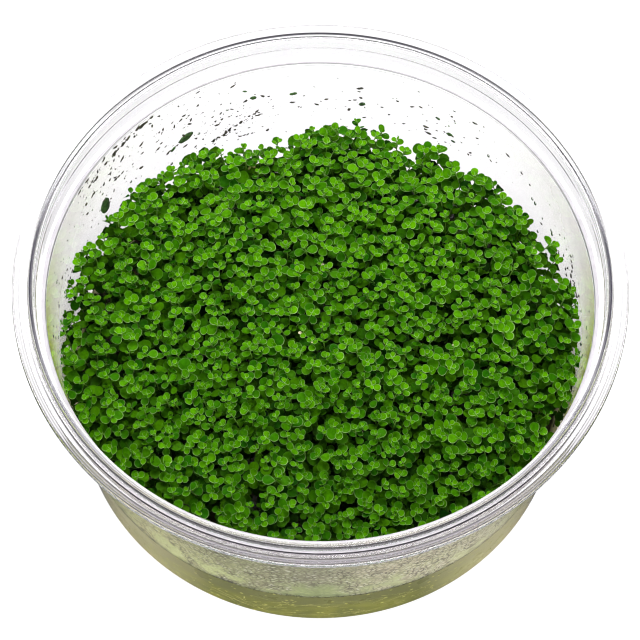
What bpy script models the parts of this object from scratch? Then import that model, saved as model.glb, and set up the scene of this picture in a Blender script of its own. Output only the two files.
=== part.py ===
# Dwarf baby tears grown in an open clear culture cup.
# A low cup with a wide rim holds a layer of set gel. Tufts of tiny round leaves
# grow out of the gel and close up into one carpet.
# Metres, +Z up, origin at the middle of the underside, which stands on a surface.

import math
import random

import bmesh
import bpy
from mathutils import Vector, geometry

MM = 0.001

# Cup: the turned section, read from the underside up
CUP_HEIGHT = 46.0 * MM
WALL = 0.7 * MM
BASE_RADIUS = 43.8 * MM
BASE_CORNER = 0.8 * MM
BASE_HOLLOW = 0.8 * MM
FOOT_WIDTH = 3.0 * MM
WALL_TOP_RADIUS = 47.9 * MM
LEDGE_HEIGHT = 39.5 * MM
COLLAR_RADIUS = 49.3 * MM
COLLAR_STEP_HEIGHT = 42.9 * MM
COLLAR_STEP = 0.25 * MM
LIP_RADIUS = 49.75 * MM
LIP_ROUND = 0.35 * MM
LIP_INNER_BEVEL = 0.12 * MM
FLANGE_FOOT_HEIGHT = 45.0 * MM
RIM_RADIUS = 52.5 * MM
RIM_HEIGHT = 44.75 * MM
RIM_SKIRT = 0.5 * MM
CUP_SEGMENTS = 48

# Gel: a turned block poured into the cup
FIT_GAP = 0.3 * MM
GEL_TOP = 12.0 * MM
MENISCUS_WIDTH = 2.6 * MM
MENISCUS_RISE = 0.7 * MM

# Carpet: tufts side by side, each a closed body with a leaf on every bump
CARPET_TOP = 27.5 * MM
CARPET_BACK_DROP = 2.4 * MM
CARPET_SWELL = 0.7 * MM
SWELL_ACROSS = 2.3
SWELL_OUT = 2.0
SWELL_SHIFT = 0.6
CARPET_RADIUS = 45.3 * MM
CARPET_BACK_INSET = 2.0 * MM
CARPET_FOOT_SHARE = 0.962
CARPET_EDGE_MARGIN = 1.0 * MM
HALF_TUFT_GAP = 0.19 * MM
INNER_TUFTS = 3
INNER_RING = 12.0 * MM
INNER_TURN = 0.5
OUTER_TUFTS = 8
OUTER_RING = 33.0 * MM

# Leaves: a loose pattern of round blades, each tilted its own way
LEAF_SPACING = 3.05 * MM
LEAF_WANDER = 0.30 * LEAF_SPACING
LEAF_LEAN = 0.26 * LEAF_SPACING
LEAF_RISE = 0.5 * MM
LEAF_SINK = 0.8 * MM
SPRIG_SHARE = 0.12
SPRIG_RISE = 0.9 * MM
HOLLOW_DEPTH = 2.3 * MM
HOLLOW_CHANGE = 0.5 * MM
SEED = 11

COLLECTION_NAME = "dwarf_baby_tears"


def clear_scene():
    for item in list(bpy.data.objects):
        bpy.data.objects.remove(item, do_unlink=True)
    collection = bpy.data.collections.new(COLLECTION_NAME)
    bpy.context.scene.collection.children.link(collection)
    return collection


def plain_material(name, colour, roughness, transmission=0.0, ior=1.45, alpha=1.0):
    material = bpy.data.materials.new(name)
    material.use_nodes = True
    shader = material.node_tree.nodes["Principled BSDF"]
    shader.inputs["Base Color"].default_value = (*colour, 1.0)
    shader.inputs["Roughness"].default_value = roughness
    shader.inputs["Metallic"].default_value = 0.0
    shader.inputs["Transmission Weight"].default_value = transmission
    shader.inputs["IOR"].default_value = ior
    shader.inputs["Alpha"].default_value = alpha
    return material


def add_object(collection, name, mesh, material):
    item = bpy.data.objects.new(name, mesh)
    mesh.materials.append(material)
    collection.objects.link(item)
    return item


# A round corner, as points from one angle in degrees to another
def arc(centre_radius, centre_height, radius, start, end, steps):
    points = []
    for step in range(steps + 1):
        angle = math.radians(start + (end - start) * step / steps)
        points.append((centre_radius + radius * math.cos(angle), centre_height + radius * math.sin(angle)))
    return points


# The wall leans out from the base to the ledge below the rim
def outer_wall_radius(height):
    share = (height - BASE_CORNER) / (LEDGE_HEIGHT - BASE_CORNER)
    return BASE_RADIUS + (WALL_TOP_RADIUS - BASE_RADIUS) * share


def inner_wall_radius(height):
    return outer_wall_radius(height) - WALL


# From the middle of the floor, up the inside, over the rim and down the outside
def cup_profile():
    floor = BASE_HOLLOW + WALL
    corner = BASE_CORNER - WALL / 2
    inside = [(0.0, floor), (BASE_RADIUS - FOOT_WIDTH - WALL, floor)]
    inside += arc(inner_wall_radius(BASE_CORNER) - corner, WALL + corner, corner, -80, 0, 3)
    inside.append((inner_wall_radius(LEDGE_HEIGHT), LEDGE_HEIGHT + WALL / 2))
    collar_inside = COLLAR_RADIUS - WALL
    inside.append((collar_inside - COLLAR_STEP, LEDGE_HEIGHT + WALL))
    inside.append((collar_inside - COLLAR_STEP, COLLAR_STEP_HEIGHT))
    inside.append((collar_inside, COLLAR_STEP_HEIGHT + COLLAR_STEP))
    rim = [(collar_inside, CUP_HEIGHT - LIP_INNER_BEVEL), (collar_inside + LIP_INNER_BEVEL, CUP_HEIGHT)]
    rim += arc(LIP_RADIUS - LIP_ROUND, CUP_HEIGHT - LIP_ROUND, LIP_ROUND, 90, 0, 2)
    rim.append((LIP_RADIUS, FLANGE_FOOT_HEIGHT))
    rim.append((RIM_RADIUS - LIP_ROUND, RIM_HEIGHT))
    rim.append((RIM_RADIUS, RIM_HEIGHT - LIP_ROUND))
    rim.append((RIM_RADIUS, RIM_HEIGHT - RIM_SKIRT - LIP_ROUND / 2))
    rim.append((RIM_RADIUS - LIP_ROUND, RIM_HEIGHT - RIM_SKIRT - LIP_ROUND))
    rim.append((RIM_RADIUS - WALL, RIM_HEIGHT - WALL))
    outside = [(COLLAR_RADIUS, FLANGE_FOOT_HEIGHT - WALL)]
    outside.append((COLLAR_RADIUS, LEDGE_HEIGHT - WALL / 2))
    outside.append((outer_wall_radius(LEDGE_HEIGHT - WALL), LEDGE_HEIGHT - WALL))
    outside += arc(BASE_RADIUS - BASE_CORNER, BASE_CORNER, BASE_CORNER, 0, -90, 4)
    outside.append((BASE_RADIUS - FOOT_WIDTH, 0.0))
    outside.append((BASE_RADIUS - FOOT_WIDTH - BASE_HOLLOW, BASE_HOLLOW))
    outside.append((0.0, BASE_HOLLOW))
    return inside + rim + outside


# From the middle of the top out to the meniscus, then down the wall to the floor
def gel_profile():
    floor = BASE_HOLLOW + WALL + FIT_GAP
    corner = BASE_CORNER
    edge = inner_wall_radius(GEL_TOP) - FIT_GAP
    points = [(0.0, GEL_TOP), (edge - MENISCUS_WIDTH, GEL_TOP)]
    points.append((edge - MENISCUS_WIDTH / 3, GEL_TOP + MENISCUS_RISE / 3))
    points.append((edge, GEL_TOP + MENISCUS_RISE))
    low = inner_wall_radius(floor + corner) - FIT_GAP
    points.append((low, floor + corner))
    points.append((low - corner / 3, floor + corner / 4))
    points.append((low - corner, floor))
    points.append((0.0, floor))
    return points


def turned_piece(collection, name, profile, material):
    mesh = bpy.data.meshes.new(name)
    points = [(radius, 0.0, height) for radius, height in profile]
    edges = [(index, index + 1) for index in range(len(points) - 1)]
    mesh.from_pydata(points, edges, [])
    item = add_object(collection, name, mesh, material)
    screw = item.modifiers.new("turn", "SCREW")
    screw.axis = "Z"
    screw.angle = math.tau
    screw.steps = CUP_SEGMENTS
    screw.render_steps = CUP_SEGMENTS
    screw.use_merge_vertices = True
    screw.merge_threshold = 0.00001
    screw.use_smooth_shade = True
    return item


# The leaves meet the wall at the front and sides and stand clear of it at the back
def carpet_edge(angle):
    back = max(0.0, math.sin(angle))
    return CARPET_RADIUS - CARPET_BACK_INSET * back ** 3


# Height of the leaf tips over a point: gently swollen, lower towards the back
def carpet_height(point):
    out = point.length / CARPET_RADIUS
    back = max(0.0, point.y / CARPET_RADIUS)
    across = point.x / CARPET_RADIUS
    swell = CARPET_SWELL * math.cos(SWELL_ACROSS * across + SWELL_SHIFT) * math.cos(SWELL_OUT * out)
    return CARPET_TOP + swell - CARPET_BACK_DROP * back ** 3


# The middle of every tuft: an inner ring and an outer ring
def tuft_centres():
    centres = []
    rings = [
        ("tuft_inner", INNER_TUFTS, INNER_RING, INNER_TURN),
        ("tuft_outer", OUTER_TUFTS, OUTER_RING, 0.0),
    ]
    for name, count, radius, start in rings:
        for index in range(count):
            angle = start + math.tau * index / count
            place = Vector((radius * math.cos(angle), radius * math.sin(angle)))
            centres.append((f"{name}_{index + 1:02d}", place))
    return centres


# Leaf places in wandering rows, past the carpet's edge so that every leaf in it
# has neighbours all round
def leaf_places(draw):
    row_step = LEAF_SPACING * math.sqrt(3) / 2
    rows = math.ceil(CARPET_RADIUS / row_step) + 3
    columns = math.ceil(CARPET_RADIUS / LEAF_SPACING) + 3
    places = []
    for row in range(-rows, rows + 1):
        for column in range(-columns, columns + 1):
            x = (column + 0.5 * (row % 2)) * LEAF_SPACING + draw.uniform(-LEAF_WANDER, LEAF_WANDER)
            y = row * row_step + draw.uniform(-LEAF_WANDER, LEAF_WANDER)
            places.append(Vector((x, y)))
    return places


def inside_carpet(place):
    edge = carpet_edge(math.atan2(place.y, place.x))
    return place.length < edge - CARPET_EDGE_MARGIN


def held_inside(place):
    edge = carpet_edge(math.atan2(place.y, place.x))
    return place * min(1.0, edge / place.length)


# The hollows between leaves: one in the middle of every three neighbours.
# Gives the hollows in plan, and for each leaf the ring of hollows round it.
def hollows_round_leaves(places):
    plan = geometry.delaunay_2d_cdt(places, [], [], 0, 0.000001)
    rings = {}
    hollows = []
    for triangle in plan[2]:
        leaves = [plan[3][corner][0] for corner in triangle]
        middle = sum((places[leaf] for leaf in leaves), Vector((0.0, 0.0))) / 3
        for leaf in leaves:
            rings.setdefault(leaf, []).append(len(hollows))
        hollows.append(held_inside(middle))
    for leaf, ring in rings.items():
        ring.sort(key=lambda hollow: bearing(places[leaf], hollows[hollow]))
    return hollows, rings


def bearing(origin, target):
    return math.atan2(target.y - origin.y, target.x - origin.x)


# Each tuft takes the leaves that are nearest to its middle
def leaves_of_tufts(places, centres):
    tufts = {name: [] for name, _ in centres}
    for leaf, place in enumerate(places):
        if inside_carpet(place):
            name = min(centres, key=lambda centre: (centre[1] - place).length)[0]
            tufts[name].append(leaf)
    return tufts


# A leaf's tip leans off the middle of its bump; a few stand up as sprigs
def leaf_tip(place, draw):
    lean = draw.uniform(0.0, math.tau)
    shift = Vector((math.cos(lean), math.sin(lean))) * LEAF_LEAN * draw.random()
    rise = draw.uniform(-LEAF_SINK, LEAF_RISE)
    if draw.random() < SPRIG_SHARE:
        rise += SPRIG_RISE
    return Vector((place.x + shift.x, place.y + shift.y, carpet_height(place) + rise))


# Hollows on a tuft's edge draw back from the neighbour to leave the gap
def edge_hollows(leaves, places, hollows, rings):
    owners = {}
    for leaf in leaves:
        for hollow in rings[leaf]:
            owners.setdefault(hollow, []).append(leaf)
    moved = {}
    for hollow, near in owners.items():
        place = hollows[hollow]
        if len(near) < 3:
            own = sum((places[leaf] for leaf in near), Vector((0.0, 0.0))) / len(near)
            place = place + (own - place).normalized() * HALF_TUFT_GAP
        moved[hollow] = place
    return moved


def tuft_piece(collection, name, leaves, layout, material):
    places, hollows, rings, tips, depths = layout
    plan = edge_hollows(leaves, places, hollows, rings)
    shell = bmesh.new()
    low = {}
    for hollow, place in plan.items():
        low[hollow] = shell.verts.new((place.x, place.y, carpet_height(place) - depths[hollow]))
    for leaf in leaves:
        tip = shell.verts.new(tips[leaf])
        ring = rings[leaf]
        for index, hollow in enumerate(ring):
            following = ring[(index + 1) % len(ring)]
            shell.faces.new((tip, low[hollow], low[following]))
    border = [edge for edge in shell.edges if edge.is_boundary]
    skirt = bmesh.ops.extrude_edge_only(shell, edges=border)["geom"]
    foot = [item for item in skirt if isinstance(item, bmesh.types.BMVert)]
    for vert in foot:
        vert.co.x *= CARPET_FOOT_SHARE
        vert.co.y *= CARPET_FOOT_SHARE
        vert.co.z = GEL_TOP + MENISCUS_RISE + FIT_GAP
    rim = [edge for edge in shell.edges if edge.is_boundary]
    bmesh.ops.contextual_create(shell, geom=rim)
    bmesh.ops.recalc_face_normals(shell, faces=shell.faces)
    mesh = bpy.data.meshes.new(name)
    shell.to_mesh(mesh)
    shell.free()
    return add_object(collection, name, mesh, material)


def carpet(collection, material):
    draw = random.Random(SEED)
    places = leaf_places(draw)
    hollows, rings = hollows_round_leaves(places)
    tips = [leaf_tip(place, draw) for place in places]
    depths = [HOLLOW_DEPTH + draw.uniform(-HOLLOW_CHANGE, HOLLOW_CHANGE) for _ in hollows]
    layout = (places, hollows, rings, tips, depths)
    for name, leaves in leaves_of_tufts(places, tuft_centres()).items():
        tuft_piece(collection, name, leaves, layout, material)


def build():
    collection = clear_scene()
    clear = plain_material("clear_plastic", (0.93, 0.94, 0.95), 0.08, transmission=1.0, ior=1.49)
    jelly = plain_material("culture_jelly", (0.62, 0.66, 0.38), 0.25, transmission=0.6, ior=1.35)
    leafy = plain_material("leaf_green", (0.10, 0.36, 0.02), 0.5)
    turned_piece(collection, "cup", cup_profile(), clear)
    turned_piece(collection, "culture_gel", gel_profile(), jelly)
    carpet(collection, leafy)


build()
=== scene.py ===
# A culture cup of dwarf baby tears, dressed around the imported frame:
# the clear cup, its gel, the leafy carpet, the water and bits on the wall.
import math
import bpy
import numpy as np
from mathutils import Matrix, Vector


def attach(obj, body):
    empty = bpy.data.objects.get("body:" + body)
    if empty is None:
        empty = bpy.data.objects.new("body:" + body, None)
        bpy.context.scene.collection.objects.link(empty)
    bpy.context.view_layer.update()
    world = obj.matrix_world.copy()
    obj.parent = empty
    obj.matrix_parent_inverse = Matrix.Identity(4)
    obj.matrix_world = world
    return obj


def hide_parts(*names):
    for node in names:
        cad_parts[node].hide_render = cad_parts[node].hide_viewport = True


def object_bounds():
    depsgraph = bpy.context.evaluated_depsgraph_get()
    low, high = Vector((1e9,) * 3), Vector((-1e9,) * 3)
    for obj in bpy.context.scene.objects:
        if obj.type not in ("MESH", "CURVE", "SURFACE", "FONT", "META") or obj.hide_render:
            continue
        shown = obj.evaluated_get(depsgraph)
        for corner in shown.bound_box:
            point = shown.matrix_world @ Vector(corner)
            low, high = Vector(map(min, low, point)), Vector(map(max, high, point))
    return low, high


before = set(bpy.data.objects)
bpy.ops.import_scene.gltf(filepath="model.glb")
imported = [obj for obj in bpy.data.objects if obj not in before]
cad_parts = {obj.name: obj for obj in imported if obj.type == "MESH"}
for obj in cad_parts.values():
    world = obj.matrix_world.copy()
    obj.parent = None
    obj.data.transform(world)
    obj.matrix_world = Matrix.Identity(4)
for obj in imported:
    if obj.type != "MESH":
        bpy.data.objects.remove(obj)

mm = 0.001
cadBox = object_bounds()
draw = np.random.default_rng(7)


# Node helpers. A colour is given by its red, green and blue, and a link by the socket it comes from
def setInputs(tree, node, inputs):
    for name, value in inputs.items():
        socket = node.inputs[name]
        if isinstance(value, bpy.types.NodeSocket):
            tree.links.new(value, socket)
        else:
            socket.default_value = (*value, 1.0) if socket.type == "RGBA" else value
    return node


def addNode(tree, kind, inputs, **options):
    node = tree.nodes.new("ShaderNode" + kind)
    for name, value in options.items():
        setattr(node, name, value)
    return setInputs(tree, node, inputs).outputs


def mixColours(tree, share, first, second):
    return addNode(tree, "Mix", {0: share, 6: first, 7: second}, data_type="RGBA")[2]


def mapRange(tree, value, low, high, toLow=0.0, toHigh=1.0):
    inputs = {"Value": value, "From Min": low, "From Max": high, "To Min": toLow, "To Max": toHigh}
    return addNode(tree, "MapRange", inputs)["Result"]


def calculate(tree, operation, first, second=0.0):
    return addNode(tree, "Math", {0: first, 1: second}, operation=operation)[0]


def times(tree, first, *others):
    for other in others:
        first = calculate(tree, "MULTIPLY", first, other)
    return first


def addNoise(tree, place, scale, detail):
    return addNode(tree, "TexNoise", {"Vector": place, "Scale": scale, "Detail": detail})


# Colours at places along a value, blended in between
def rampColours(tree, value, stops):
    low = min(stops)
    high = max(stops)
    share = mapRange(tree, value, low, high)
    node = tree.nodes.new("ShaderNodeValToRGB")
    elements = node.color_ramp.elements
    elements[0].color = (*stops[low], 1.0)
    elements[1].color = (*stops[high], 1.0)
    for place, colour in stops.items():
        if low < place < high:
            elements.new((place - low) / (high - low)).color = (*colour, 1.0)
    return setInputs(tree, node, {"Fac": share}).outputs["Color"]


# A number at places along a value, straight in between
def ramp(tree, value, stops):
    (start, result), (stop, number), *rest = stops.items()
    result = mapRange(tree, value, start, stop, result, number)
    for place, number in rest:
        result = mapRange(tree, mapRange(tree, value, stop, place), 0.0, 1.0, result, number)
        stop = place
    return result


# 1 where a value lies between two places, with soft edges
def between(tree, value, start, stop, soft):
    rise = mapRange(tree, calculate(tree, "SUBTRACT", value, start), -soft, soft)
    fall = mapRange(tree, calculate(tree, "SUBTRACT", stop, value), -soft, soft)
    return times(tree, rise, fall)


# A fine line at a radius, solid in its inner half
def fineLine(tree, radius, middle, half, shade):
    away = calculate(tree, "ABSOLUTE", calculate(tree, "SUBTRACT", radius, middle))
    return times(tree, mapRange(tree, calculate(tree, "DIVIDE", away, half), 1.0, 0.5), shade)


def startMaterial(name):
    material = bpy.data.materials.new(name)
    material.use_nodes = True
    return material, material.node_tree, material.node_tree.nodes["Principled BSDF"]


# Patchy colour that every material uses
def buildMottleGroup():
    group = bpy.data.node_groups.new("mottle", "ShaderNodeTree")
    sockets = {"Light": "INPUT Color", "Dark": "INPUT Color", "Patches Per Metre": "INPUT Float",
               "Colour": "OUTPUT Color", "Patch": "OUTPUT Float"}
    for name, kind in sockets.items():
        direction, kind = kind.split()
        group.interface.new_socket(name, in_out=direction, socket_type="NodeSocket" + kind)
    given = group.nodes.new("NodeGroupInput").outputs
    place = addNode(group, "TexCoord", {})["Object"]
    noise = addNoise(group, place, given["Patches Per Metre"], 3.0)["Fac"]
    patch = mapRange(group, noise, 0.35, 0.65)
    colour = mixColours(group, patch, given["Light"], given["Dark"])
    setInputs(group, group.nodes.new("NodeGroupOutput"), {"Colour": colour, "Patch": patch})
    return group


mottleGroup = buildMottleGroup()


def addMottle(tree, light, dark, patchesPerMetre):
    inputs = {"Light": light, "Dark": dark, "Patches Per Metre": patchesPerMetre}
    return addNode(tree, "Group", inputs, node_tree=mottleGroup)


def addBump(tree, shader, height, distance, strength):
    bump = addNode(tree, "Bump", {"Height": height, "Distance": distance, "Strength": strength})
    setInputs(tree, shader, {"Normal": bump["Normal"]})


# A material in two patchy colours. Its look gives the shader's other inputs, its bump a height and a strength
def patchyMaterial(name, light, dark, patchesPerMetre, look, bump=None):
    material, tree, shader = startMaterial(name)
    patches = addMottle(tree, light, dark, patchesPerMetre)
    setInputs(tree, shader, {"Base Color": patches["Colour"], **look})
    if bump:
        addBump(tree, shader, patches["Patch"], *bump)
    return material


def mixSurface(tree, share, other):
    shader = tree.nodes["Principled BSDF"].outputs[0]
    mix = addNode(tree, "MixShader", {0: share, 1: shader, 2: other})
    setInputs(tree, tree.nodes["Material Output"], {"Surface": mix[0]})


# Lamps shine straight through the clear pieces instead of being stopped by them
def passLamps(tree):
    mixSurface(tree, addNode(tree, "LightPath", {})["Is Shadow Ray"], addNode(tree, "BsdfTransparent", {})[0])


# Every finished piece is linked, given its material and set on the one body
def addPiece(name, mesh, materials, replaced=()):
    piece = bpy.data.objects.new(name, mesh)
    bpy.context.scene.collection.objects.link(piece)
    for material in materials:
        mesh.materials.append(material)
    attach(piece, "root")
    if replaced:
        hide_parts(*replaced)


# The faces of many copies of one shape, for a mesh that joins them
def joinFaces(faces, shapes, corners, first=0):
    starts = range(first, first + shapes * corners, corners)
    return [tuple(start + corner for corner in face) for start in starts for face in faces]


# A mesh from points in millimetres
def smallMesh(name, points, faces):
    mesh = bpy.data.meshes.new(name)
    mesh.from_pydata((points.reshape(-1, 3) * mm).tolist(), [], faces)
    mesh.shade_smooth()
    return mesh


camera = {
    "elevation": 62.089,        # degrees above the floor
    "roll": 0.916,              # degrees, turned to the left
    "behind": 8.16 * mm,        # the aim point lies this far before the cup's middle
    "distance": 471.15 * mm,
    "lens": 157.32,
}


def placeCamera():
    lens = bpy.data.cameras.new("camera")
    lens.lens = camera["lens"]
    lens.clip_start = 10 * mm
    lens.clip_end = 20.0
    eye = bpy.data.objects.new("camera", lens)
    bpy.context.scene.collection.objects.link(eye)
    rise = math.radians(camera["elevation"])
    aim = Vector((0.0, -camera["behind"], cadBox[1][2]))
    away = Vector((0.0, -math.cos(rise), math.sin(rise))) * camera["distance"]
    tilt = Matrix.Rotation(math.pi / 2 - rise, 4, "X")
    roll = Matrix.Rotation(math.radians(camera["roll"]), 4, "Z")
    eye.matrix_world = Matrix.Translation(aim + away) @ tilt @ roll
    bpy.context.scene.camera = eye


studio = {
    "sky": (1.0, 1.0, 1.0),
    "horizon": (0.20, 0.19, 0.23),
    "horizonTo": {0.02: 0.0, 0.16: 1.0},        # how high the dim horizon reaches
    "skyStrength": 0.34,
    "skyThrough": 1.0,          # the sky as seen through clear plastic
    "lamps": {                  # power, size and place
        "keyLight": (18.0, 0.55, (0.0, 0.45, 1.2)),
        "fillLight": (12.0, 0.8, (0.05, -1.0, 0.65)),
    },
    "floorSize": 8.0,
    "floorLight": (0.17, 0.17, 0.17),
    "floorDark": (0.155, 0.155, 0.155),
    "floorShown": 5.7,          # the page is whiter where it is looked at than where it reflects
    "lightBounces": 28,         # so that light finds its way through the clear rim
    "filterWidth": 1.15,        # pixels
}


def addSoftLight(name, power, size, place):
    data = bpy.data.lights.new(name, "AREA")
    data.energy = power
    data.size = size
    lamp = bpy.data.objects.new(name, data)
    bpy.context.scene.collection.objects.link(lamp)
    lamp.location = place
    lamp.rotation_euler = (-Vector(place)).to_track_quat("-Z", "Y").to_euler()


# A pale sky, dimmer at the horizon, and soft lamps over a pale floor
def buildStudio():
    scene = bpy.context.scene
    scene.world = bpy.data.worlds.new("softSky")
    scene.world.use_nodes = True
    tree = scene.world.node_tree
    direction = addNode(tree, "TexCoord", {})["Generated"]
    height = addNode(tree, "SeparateXYZ", {0: direction})["Z"]
    colour = mixColours(tree, ramp(tree, height, studio["horizonTo"]), studio["horizon"], studio["sky"])
    through = addNode(tree, "LightPath", {})["Is Transmission Ray"]
    strength = mapRange(tree, through, 0.0, 1.0, studio["skyStrength"], studio["skyThrough"])
    setInputs(tree, tree.nodes["Background"], {"Color": colour, "Strength": strength})
    for name, (power, size, place) in studio["lamps"].items():
        addSoftLight(name, power, size, place)
    bpy.ops.mesh.primitive_plane_add(size=studio["floorSize"])
    floor = bpy.context.object
    floor.name = "floor"
    material, tree, shader = startMaterial("paleFloor")
    patches = addMottle(tree, studio["floorLight"], studio["floorDark"], 6.0)
    rays = addNode(tree, "LightPath", {})
    shown = calculate(tree, "MAXIMUM", rays["Is Camera Ray"], rays["Is Transmission Ray"])
    setInputs(tree, shader, {"Base Color": patches["Colour"], "Emission Color": patches["Colour"],
                             "Emission Strength": times(tree, shown, studio["floorShown"]), "Roughness": 0.8})
    floor.data.materials.append(material)
    scene.view_settings.view_transform = "Standard"
    scene.cycles.max_bounces = studio["lightBounces"]
    scene.cycles.transmission_bounces = studio["lightBounces"]
    scene.cycles.transparent_max_bounces = studio["lightBounces"]
    scene.cycles.filter_width = studio["filterWidth"]


placeCamera()
buildStudio()
print("camera and studio placed")


# The cup's section in millimetres, as measured from the floor and the middle
cup = {
    "wall": 0.7,
    "baseRadius": 43.8,
    "baseCorner": 0.8,
    "baseHollow": 0.8,
    "footWidth": 3.0,
    "wallTopRadius": 47.9,
    "topThinning": 0.55,        # the wall thins towards its ledge
    "ledgeHeight": 39.5,
    "ledgeRound": 0.10,
    "ledgeEase": 0.15,
    "collarRadius": 49.3,
    "collarStepHeight": 42.9,
    "collarStep": 0.10,
    "collarEase": 0.2,
    "lipInnerRound": 0.12,
    "lipOuterRound": 0.35,
    "lipRadius": 49.75,
    "lipFillet": 0.08,
    "rimRound": 0.30,
    "flangeFootRadius": 49.9,
    "flangeFootHeight": 45.0,
    "rimHeight": 44.75,
    "rimSkirt": 0.5,
    "ridges": (50.45, 51.31, 51.73, 52.14),     # radius of each fine ridge on the flange
    "ridgeHeight": 0.05,
    "ridgeWidth": 0.28,
    "turns": 360,
}


def outerWall(height):
    share = (height - cup["baseCorner"]) / (cup["ledgeHeight"] - cup["baseCorner"])
    return cup["baseRadius"] + (cup["wallTopRadius"] - cup["baseRadius"]) * share


def innerWall(height):
    return outerWall(height) - cup["wall"]


def profileArc(radius, height, size, start, end, steps):
    angles = [math.radians(start + (end - start) * step / steps) for step in range(steps + 1)]
    return [(radius + size * math.cos(a), height + size * math.sin(a)) for a in angles]


# The ledge, the collar, the lip and the ridged top of the flange, from the inside out
def rimProfile():
    top = cadBox[1][2] / mm
    shelf = cup["ledgeHeight"] + cup["wall"]
    inside = cup["collarRadius"] - cup["wall"]
    step = cup["collarStep"]
    bend = cup["ledgeRound"]
    points = profileArc(innerWall(cup["ledgeHeight"]) + bend, shelf - bend, bend, 180, 90, 4)
    points += [(inside - step, shelf), (inside - step, cup["collarStepHeight"])]
    points.append((inside, cup["collarStepHeight"] + step))
    bend = cup["lipInnerRound"]
    points += profileArc(inside + bend, top - bend, bend, 180, 90, 3)
    bend = cup["lipOuterRound"]
    points += profileArc(cup["lipRadius"] - bend, top - bend, bend, 90, 0, 5)
    foot = cup["flangeFootRadius"]
    level = cup["flangeFootHeight"]
    points += [(cup["lipRadius"] + cup["lipFillet"] / 2, level + cup["lipFillet"]), (foot, level)]
    slope = (level - cup["rimHeight"]) / (cadBox[1][0] / mm - foot)
    half = cup["ridgeWidth"] / 2
    for radius in cup["ridges"]:
        height = level - slope * (radius - foot)
        points += [(radius - half, height), (radius, height + cup["ridgeHeight"]), (radius + half, height)]
    return points


# From the middle of the floor, up the inside, over the rim and down the outside
def cupProfile():
    rimRadius = cadBox[1][0] / mm
    wall = cup["wall"]
    hollow = cup["baseHollow"]
    footInside = cup["baseRadius"] - cup["footWidth"]
    corner = cup["baseCorner"] - wall / 2
    inside = [(0.0, hollow + wall), (footInside - wall, hollow + wall)]
    inside += profileArc(innerWall(cup["baseCorner"]) - corner, wall + corner, corner, -80, 0, 6)
    bend = cup["rimRound"]
    skirt = cup["rimHeight"] - cup["rimSkirt"]
    rim = profileArc(rimRadius - bend, cup["rimHeight"] - bend, bend, 90, 0, 4)
    rim += profileArc(rimRadius - bend / 2, skirt - bend / 2, bend / 2, 0, -90, 3)
    rim += [(rimRadius - bend, skirt - bend), (rimRadius - wall, cup["rimHeight"] - wall)]
    under = cup["flangeFootHeight"] - wall
    collar = cup["collarRadius"]
    outside = [(collar + cup["collarEase"], under), (collar, under - cup["collarEase"])]
    bend = cup["ledgeRound"]
    middle = cup["ledgeHeight"] - wall / 2
    outside += profileArc(collar - bend, middle + bend, bend, 0, -90, 4)
    thinned = outerWall(cup["ledgeHeight"] - wall) - cup["topThinning"]
    outside += [(thinned + cup["ledgeEase"], middle), (thinned, cup["ledgeHeight"] - wall)]
    bend = cup["baseCorner"]
    outside += profileArc(cup["baseRadius"] - bend, bend, bend, 0, -90, 8)
    outside += [(footInside, 0.0), (footInside - hollow, hollow), (0.0, hollow)]
    return inside + rimProfile() + rim + outside


# A profile in millimetres turned about the upright axis
def turnedMesh(name, profile, turns, sharpAngle):
    outline = bpy.data.meshes.new(name + "Outline")
    points = [(radius * mm, 0.0, height * mm) for radius, height in profile]
    outline.from_pydata(points, [(i, i + 1) for i in range(len(points) - 1)], [])
    holder = bpy.data.objects.new(name + "Outline", outline)
    bpy.context.scene.collection.objects.link(holder)
    screw = holder.modifiers.new("turn", "SCREW")
    screw.axis = "Z"
    screw.angle = math.tau
    screw.steps = turns
    screw.render_steps = turns
    screw.use_merge_vertices = True
    screw.merge_threshold = 0.00001
    bpy.context.view_layer.update()
    turned = holder.evaluated_get(bpy.context.evaluated_depsgraph_get())
    mesh = bpy.data.meshes.new_from_object(turned)
    bpy.data.objects.remove(holder)
    mesh.name = name
    mesh.shade_smooth()
    mesh.set_sharp_from_angle(angle=math.radians(sharpAngle))
    return mesh


# Where a point lies on the cup: out from the inside of the wall, its height and how far behind
def placeOnCup(tree):
    place = addNode(tree, "TexCoord", {})["Object"]
    parts = addNode(tree, "SeparateXYZ", {0: place})
    level = addNode(tree, "CombineXYZ", {"X": parts["X"], "Y": parts["Y"]})[0]
    radius = addNode(tree, "VectorMath", {0: level}, operation="LENGTH")["Value"]
    low = cup["baseCorner"]
    high = cup["ledgeHeight"]
    wall = mapRange(tree, parts["Z"], low * mm, high * mm, innerWall(low) * mm, innerWall(high) * mm)
    return {"place": place, "radius": radius, "outward": calculate(tree, "SUBTRACT", radius, wall),
            "height": parts["Z"], "back": parts["Y"], "right": parts["X"]}


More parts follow.
